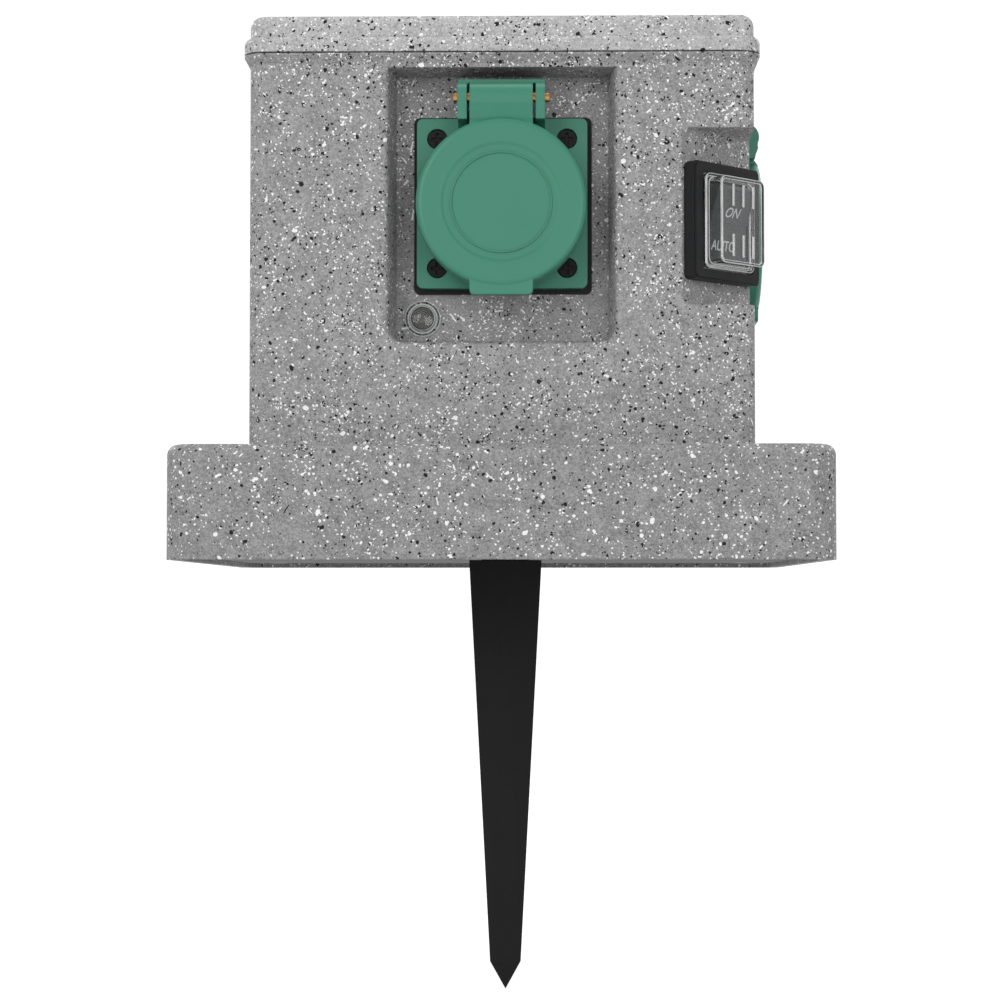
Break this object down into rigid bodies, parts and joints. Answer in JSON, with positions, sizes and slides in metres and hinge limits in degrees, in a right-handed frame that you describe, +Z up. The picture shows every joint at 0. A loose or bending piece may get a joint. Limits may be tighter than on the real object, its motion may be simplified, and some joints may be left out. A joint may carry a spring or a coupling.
{
  "type": "garden socket post",
  "caption": "Square stone-look garden post with lidded green sockets recessed in its front and side, a hooded rocker switch on a cut corner, a light sensor and a ground spike",
  "frame": {"origin": "middle of the foot's underside, at ground level, where the spike leaves the foot", "axes": "+Z up, the front with its socket faces -Y, the second socket faces +X, the switch is on the corner between them"},
  "size_m": [0.189, 0.189, 0.292],
  "materials": {
    "stone_plastic": "mid grey moulded plastic with dense white and black speckles, like granite",
    "stone_lid_plastic": "the same speckled grey plastic, a little lighter",
    "rubber": "soft black sealing rubber",
    "steel": "zinc-plated steel",
    "black_steel": "blackened pan-head screws",
    "grey_plastic": "plain grey plastic",
    "black_plastic": "fine-grained black plastic",
    "dark_grey_plastic": "satin dark grey plastic with white lettering",
    "green_plastic": "satin blue-green plastic",
    "white_plastic": "off-white insulating plastic",
    "brass": "plain brass",
    "clear_plastic": "clear polycarbonate",
    "sensor_brown": "dark brown light sensor",
    "board_green": "green circuit board",
    "relay_blue": "blue relay case",
    "capacitor_yellow": "yellow film capacitor",
    "fuse_ceramic": "ceramic fuse",
    "terminal_green": "green terminal block",
    "wire_brown": "brown insulation, live",
    "wire_blue": "blue insulation, neutral",
    "wire_green_yellow": "green and yellow insulation, earth",
    "wire_black": "black insulation, switch",
    "wire_white": "white insulation, sensor"
  },
  "bodies": {
    "post": {"housing": "stone_plastic", "top_lid": "stone_lid_plastic", "lid_seal": "rubber", "lid_screws": "steel", "base_plate": "grey_plastic", "base_plate_screws": "steel", "ground_spike": "black_plastic", "spike_screw": "steel", "front_gasket": "rubber", "front_socket_body": "green_plastic", "front_contact_carrier": "white_plastic", "front_pin_contacts": "brass", "front_earth_clip": "steel", "front_terminal_screws": "steel", "front_flange_screws": "black_steel", "front_hinge_pin": "brass", "front_lid_spring": "steel", "side_gasket": "rubber", "side_socket_body": "green_plastic", "side_contact_carrier": "white_plastic", "side_pin_contacts": "brass", "side_earth_clip": "steel", "side_terminal_screws": "steel", "side_flange_screws": "black_steel", "side_hinge_pin": "brass", "side_lid_spring": "steel", "switch_gasket": "rubber", "switch_body": "black_plastic", "switch_bezel": "black_plastic", "switch_hood": "clear_plastic", "switch_terminals": "brass", "sensor_bezel": "clear_plastic", "sensor_lens": "clear_plastic", "light_sensor": "sensor_brown", "sensor_nut": "black_plastic", "gland_body": "black_plastic", "gland_washer": "rubber", "gland_locknut": "black_plastic", "gland_cap_nut": "black_plastic", "gland_seal": "rubber", "control_board": "board_green", "board_screws": "steel", "relay": "relay_blue", "capacitor": "capacitor_yellow", "fuse": "fuse_ceramic", "socket_terminal_block": "terminal_green", "mains_terminal_block": "terminal_green", "live_wires": "wire_brown", "neutral_wires": "wire_blue", "earth_wires": "wire_green_yellow", "switch_wires": "wire_black", "sensor_wires": "wire_white"},
    "front_lid": {"front_lid": "green_plastic", "front_lid_seal": "rubber"},
    "side_lid": {"side_lid": "green_plastic", "side_lid_seal": "rubber"},
    "rocker": {"switch_rocker": "dark_grey_plastic", "switch_plunger": "brass"},
    "contact_lever": {"switch_contact_lever": "brass"}
  },
  "joints": [
    {"name": "front_lid", "type": "hinge", "parent": "post", "child": "front_lid", "pos_m": [0, -0.07535, 0.1335], "axis": [-1, 0, 0], "range_deg": [0, 120], "stiffness_Nm_per_rad": 0.03, "springref_deg": -34.38, "deforming": ["front_lid_spring"]},
    {"name": "side_lid", "type": "hinge", "parent": "post", "child": "side_lid", "pos_m": [0.07535, 0, 0.1335], "axis": [0, -1, 0], "range_deg": [0, 120], "stiffness_Nm_per_rad": 0.03, "springref_deg": -34.38, "deforming": ["side_lid_spring"]},
    {"name": "rocker", "type": "hinge", "parent": "post", "child": "rocker", "pos_m": [0.06336, -0.06336, 0.0982], "axis": [-0.7071, -0.7071, 0], "range_deg": [0, 20]},
    {"name": "contact_lever", "type": "hinge", "parent": "post", "child": "contact_lever", "pos_m": [0.05445, -0.05445, 0.0982], "axis": [0.7071, 0.7071, 0], "range_deg": [0, 16]}
  ],
  "couplings": [
    {"joint": "contact_lever", "follows": "rocker", "ratio": 0.8}
  ]
}
